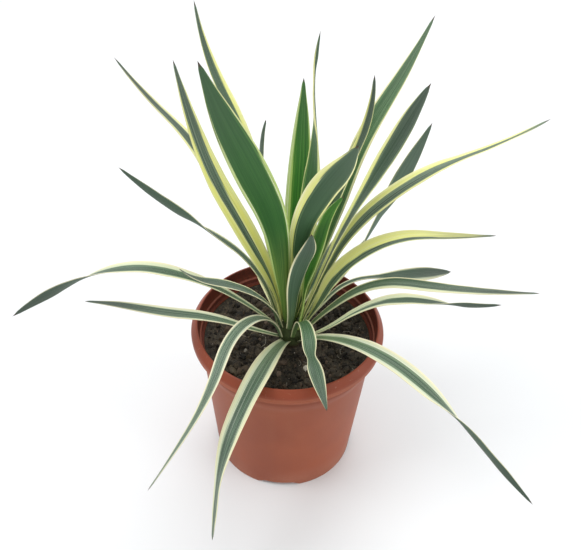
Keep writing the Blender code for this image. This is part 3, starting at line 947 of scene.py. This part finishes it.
def make_bed():
    """Closed body of soil with a lumpy top and a hole for the stem."""
    edge = wall_radius(SOIL_TOP) - SOIL_GAP
    round_bed = circle(BED_STEPS)
    rings = [[((radius - SOIL_GAP) * cosine, (radius - SOIL_GAP) * sine, height + SOIL_GAP)
              for cosine, sine in round_bed]
             for radius, height in (PLATE_FOOT, PLATE_RIM, WALL_FOOT)]
    for place in range(BED_RINGS):
        share = 1 - place / (BED_RINGS - 1)
        radius = STEM_HOLE + (edge - STEM_HOLE) * share
        calm = min(1.0, (1 - share) * 14) * min(1.0, share * 8)  # level at the wall and the stem
        ring = []
        for cosine, sine in round_bed:
            x = radius * cosine + CROWN[0] * (1 - share)
            y = radius * sine + CROWN[1] * (1 - share)
            ring.append((x, y, SOIL_TOP + calm * hills(x, y)))
        rings.append(ring)
    rings.append([(CROWN[0] + STEM_HOLE * cosine, CROWN[1] + STEM_HOLE * sine, HOLE_FLOOR)
                  for cosine, sine in round_bed])
    points = [tuple(value * MM for value in point) for ring in rings for point in ring]
    faces = ring_walls(len(rings), BED_STEPS)
    faces.append(tuple(range(BED_STEPS))[::-1])
    faces.append(tuple((len(rings) - 1) * BED_STEPS + step for step in range(BED_STEPS)))
    return new_object("soil_bed", new_mesh("soil_bed", points, faces))


bed = make_bed()
bed.data.shade_smooth()
bed.data.set_sharp_from_angle(angle=math.radians(60))
report(bed)

# %% [markdown]
# ## Soil finish
#
# One finish serves the bed and its crumbs. Nearly black peat is mixed with browner bits by noise,
# and fine noise adds painted highlights on it. Each crumb carries a random value, which picks it
# out as peat, bark, pebble or, now and then, a pale speck.

# %% Soil finish
def make_soil_finish():
    material, graph, shader = new_finish("soil")
    spot = graph.spot()
    kind = graph.attribute("kind")
    coarse, fine = graph.noise(spot, 160, 4, 0.6), graph.noise(spot, 900, 3, 0.7)
    shade = graph.noise(graph.point(kind * 60, 0.0, 0.0), 1.0, 1)
    peat = graph.mix(graph.step(coarse * 0.35 + shade * 0.65, 0.4, 0.66),
                     (13, 10, 7), (80, 69, 50))
    # Painted highlights: fine pale specks on the peat, where its grains catch the light.
    peat = graph.mix(graph.step(fine, 0.54, 0.68) * 0.5, peat, (128, 114, 88))
    bark = graph.mix(fine, (40, 31, 23), (104, 86, 66))
    pebble = graph.mix(coarse, (76, 62, 50), (122, 104, 86))
    # Nine tenths of the crumbs are peat, then come bark, pebbles and the palest specks.
    colour = graph.mix(graph.step(kind, 0.89, 0.9), peat, bark)
    colour = graph.mix(graph.step(kind, 0.975, 0.98), colour, pebble)
    colour = graph.mix(graph.step(kind, 0.996, 0.997), colour, (190, 184, 168))
    feed(graph, shader, Base_Color=colour, Roughness=0.9 - 0.25 * graph.step(shade, 0.4, 0.6),
         Normal=graph.bump(0.8, 0.0012, coarse * 0.5 + fine * 0.5))
    return material


soil_finish = make_soil_finish()
bed.data.materials.append(soil_finish)
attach(bed, "root")
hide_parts("soil")

# %% [markdown]
# ## Crumbs, bark and pebbles
#
# Thousands of crumbs would be slow to place by hand. Geometry Nodes scatter points over the top of
# the bed, put one of several knobbly lumps on each, and turn and scale it at random. The seed is
# fixed, so the same soil comes out each time.

# %% Crumb tree
LUMP_VARIANTS = 5
PATCH_RINGS, PATCH_STEPS = 26, 96
FULL_TURN = 6.28


def scatter(graph, entry, variants, kind, lift, turn, scale):
    """Put one of the variants on each random point of the ground, and end the tree."""
    points = graph.shape("DistributePointsOnFaces", Mesh=entry, Density=entry.also("Density"),
                         Seed=entry.also("Seed"))
    points = keep(graph, points, "kind", kind)
    points = graph.shape("SetPosition", Geometry=points, Offset=graph.point(0.0, 0.0, lift))
    single = [graph.shape("GeometryToInstance", Geometry=variant) for variant in variants]
    choice = graph.shape("JoinGeometry", Geometry=single)
    placed = graph.shape("InstanceOnPoints", Points=points, Instance=choice, Pick_Instance=True,
                         Rotation=turn, Scale=scale)
    close_tree(graph, entry, placed)


def make_crumb_tree():
    """Scatters turned and scaled lumps over the ground it is given."""
    tree, graph, entry = new_tree("crumbs", ["Seed", "Faceting"], [
        "Density", "Size Low", "Size High", "Flatness", "Sink"])
    seed = entry.also("Seed")
    lump = graph.shape("MeshIcoSphere", Radius=1.0, Subdivisions=entry.also("Faceting"))
    spot = graph.shape("InputPosition")
    lumps = []
    for variant in range(LUMP_VARIANTS):
        moved = graph.vector("ADD", spot, (variant * 9.0, 0.0, 0.0))
        bulge = graph.noise(moved, 1.3, 2) * 1.1 - 0.55
        lumps.append(graph.shape("SetPosition", Geometry=lump, Offset=graph.scale(spot, bulge)))
    turn = graph.random(seed + 1, (0.0, 0.0, 0.0), (FULL_TURN, FULL_TURN, FULL_TURN))
    small, large = entry.also("Size Low"), entry.also("Size High")
    size = small + (large - small) * graph.random(seed + 2) ** 3
    long, flat = graph.random(seed + 3, 0.8, 1.7), graph.random(seed + 4, 0.45, 1.0)
    scale = graph.point(size * long, size, size * flat * entry.also("Flatness"))
    scatter(graph, entry, lumps, graph.random(seed + 5), -(size * entry.also("Sink")), turn, scale)
    return tree


def ground_patch(reach_in, reach_out):
    """Open sheet of the soil's top between two radii, for scattering on."""
    points = []
    for place in range(PATCH_RINGS):
        radius = reach_in + (reach_out - reach_in) * place / (PATCH_RINGS - 1)
        share = (reach_out - radius) / reach_out
        for cosine, sine in circle(PATCH_STEPS):
            x = radius * cosine + CROWN[0] * share
            y = radius * sine + CROWN[1] * share
            points.append((x * MM, y * MM, (SOIL_TOP + hills(x, y)) * MM))
    upward = [(first, last, third, second)
              for first, second, third, last in ring_walls(PATCH_RINGS, PATCH_STEPS)]
    return new_mesh("ground", points, upward)


crumb_tree = make_crumb_tree()
CRUMB_INPUTS = ("Density", "Size Low", "Size High", "Faceting", "Flatness", "Sink", "Seed")
CRUMB_SORTS = {  # the radii between which they lie, then the inputs above
    "soil_grit": ((13.0, 71.0), (190000.0, 0.35 * MM, 1.1 * MM, 1, 0.9, 0.2, 11)),
    "soil_crumbs": ((14.0, 70.0), (60000.0, 0.9 * MM, 2.4 * MM, 2, 0.8, 0.15, 23)),
    "soil_lumps": ((18.0, 65.0), (26000.0, 2.2 * MM, 5.2 * MM, 2, 0.85, 0.05, 37)),
}
for name, (reach, inputs) in CRUMB_SORTS.items():
    crumbs = new_object(name, ground_patch(*reach))
    run_tree(crumbs, crumb_tree, {**dict(zip(CRUMB_INPUTS, inputs)), "Material": soil_finish})
    report(crumbs)
    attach(crumbs, "root")

# %% [markdown]
# ## Fibres in the soil
#
# A few pale fibres lie on the peat. Each is an arc with a wavering middle line, given a thin round
# section, and the same scattering places them, turned about the upright axis and tilted a little.

# %% Fibres
FIBRE_VARIANTS = 4
FIBRE_TILT = 0.25
FIBRE_KIND = 0.9966  # between a pebble's colour and a pale speck's


def make_fibre_tree():
    """Scatters thin bent threads that lie nearly level."""
    tree, graph, entry = new_tree("fibres", ["Seed"], [
        "Density", "Size Low", "Size High", "Thinness", "Lift"])
    seed = entry.also("Seed")
    arc = graph.shape("CurveArc", {"mode": "RADIUS"}, Resolution=10, Radius=1.0,
                      Start_Angle=0.0, Sweep_Angle=1.5)
    spot = graph.shape("InputPosition")
    threads = []
    for variant in range(FIBRE_VARIANTS):
        waver = graph.noise(graph.vector("ADD", spot, (variant * 7.0, 0.0, 0.0)), 2.2, 1)
        shift = graph.point((waver - 0.5) * 0.5, 0.0, (waver - 0.5) * 0.25)
        bent = graph.shape("SetPosition", Geometry=arc, Offset=shift)
        section = graph.shape("CurvePrimitiveCircle", {"mode": "RADIUS"}, Resolution=5,
                              Radius=entry.also("Thinness"))
        threads.append(graph.shape("CurveToMesh", Curve=bent, Profile_Curve=section,
                                   Fill_Caps=True))
    turn = graph.random(seed + 1, (-FIBRE_TILT, -FIBRE_TILT, 0.0),
                        (FIBRE_TILT, FIBRE_TILT, FULL_TURN))
    size = graph.random(seed + 2, entry.also("Size Low"), entry.also("Size High"))
    scatter(graph, entry, threads, FIBRE_KIND, entry.also("Lift"), turn,
            graph.point(size, size, size))
    return tree


fibres = new_object("soil_fibres", ground_patch(18.0, 58.0))
run_tree(fibres, make_fibre_tree(), {
    "Density": 3200.0, "Size Low": 4 * MM, "Size High": 9 * MM, "Thinness": 0.022,
    "Lift": 1.6 * MM, "Seed": 5, "Material": soil_finish})
report(fibres)
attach(fibres, "root")

# %% [markdown]
# ## The stem
#
# The leaves grow from a short stem that is hardly seen: a knob of packed leaf bases, pale where it
# is young and brown where old leaves have dried away. It is spun like the pot. Its wall is stepped,
# and on the dome about every third row of points is drawn in a little, so that the rims of old
# sheaths show between the leaves.

# %% Stem
STEM_STEPS = 60
STEM_FOOT = (9.9, 95.2)
SHEATH_START, SHEATH_STEP = 98.0, 3.0
SHEATH_IN, SHEATH_OUT = 9.6, 10.4
DOME_FOOT = 137.0
DOME_RADIUS, DOME_HEIGHT = 10.5, 25.0


def stem_profile():
    """Stem and dome in millimetres, with a step below each sheath."""
    profile = [STEM_FOOT]
    for height in np.arange(SHEATH_START, DOME_FOOT, SHEATH_STEP):
        profile += [(SHEATH_IN, height), (SHEATH_OUT, height + 0.4), (SHEATH_OUT, height + 1.6)]
    for rise in np.linspace(4, 86, 21):
        angle = math.radians(rise)
        inset = 0.25 if round(rise) % 3 else 0.9
        profile.append(((DOME_RADIUS - inset) * math.cos(angle),
                        DOME_FOOT + (DOME_HEIGHT - inset) * math.sin(angle)))
    return profile


stem = turned("stem_core", stem_profile(), STEM_STEPS)
for vertex in stem.data.vertices:
    vertex.co.x += CROWN[0] * MM
    vertex.co.y += CROWN[1] * MM
stem.data.shade_smooth()
report(stem)


def make_stem_finish():
    material, graph, shader = new_finish("stem", Roughness=0.55)
    spot = graph.spot()
    height = graph.node("ShaderNodeSeparateXYZ", {}, {"Vector": spot}).also("Z")
    fibre = graph.noise(graph.vector("MULTIPLY", spot, (900, 900, 90)), 1.0, 3, 0.6)
    patch = graph.noise(spot, 140, 2)
    green = graph.mix(fibre, (38, 52, 28), (84, 96, 52))
    brown = graph.mix(fibre, (34, 26, 20), (84, 66, 48))
    colour = graph.mix(graph.step(height + patch * 0.01, 0.146, 0.136), green, brown)
    feed(graph, shader, Base_Color=colour, Normal=graph.bump(0.5, 0.0006, fibre))
    return material


stem.data.materials.append(make_stem_finish())
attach(stem, "root")
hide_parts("stem")

# %% Sizes and finish
new_low, new_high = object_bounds()
boxes = {"cad": [list(map(float, cad_low)), list(map(float, cad_high))],
         "visual": [list(map(float, new_low)), list(map(float, new_high))]}
for label, (low, high) in boxes.items():
    print(label, [round(value / MM, 1) for value in low + high])
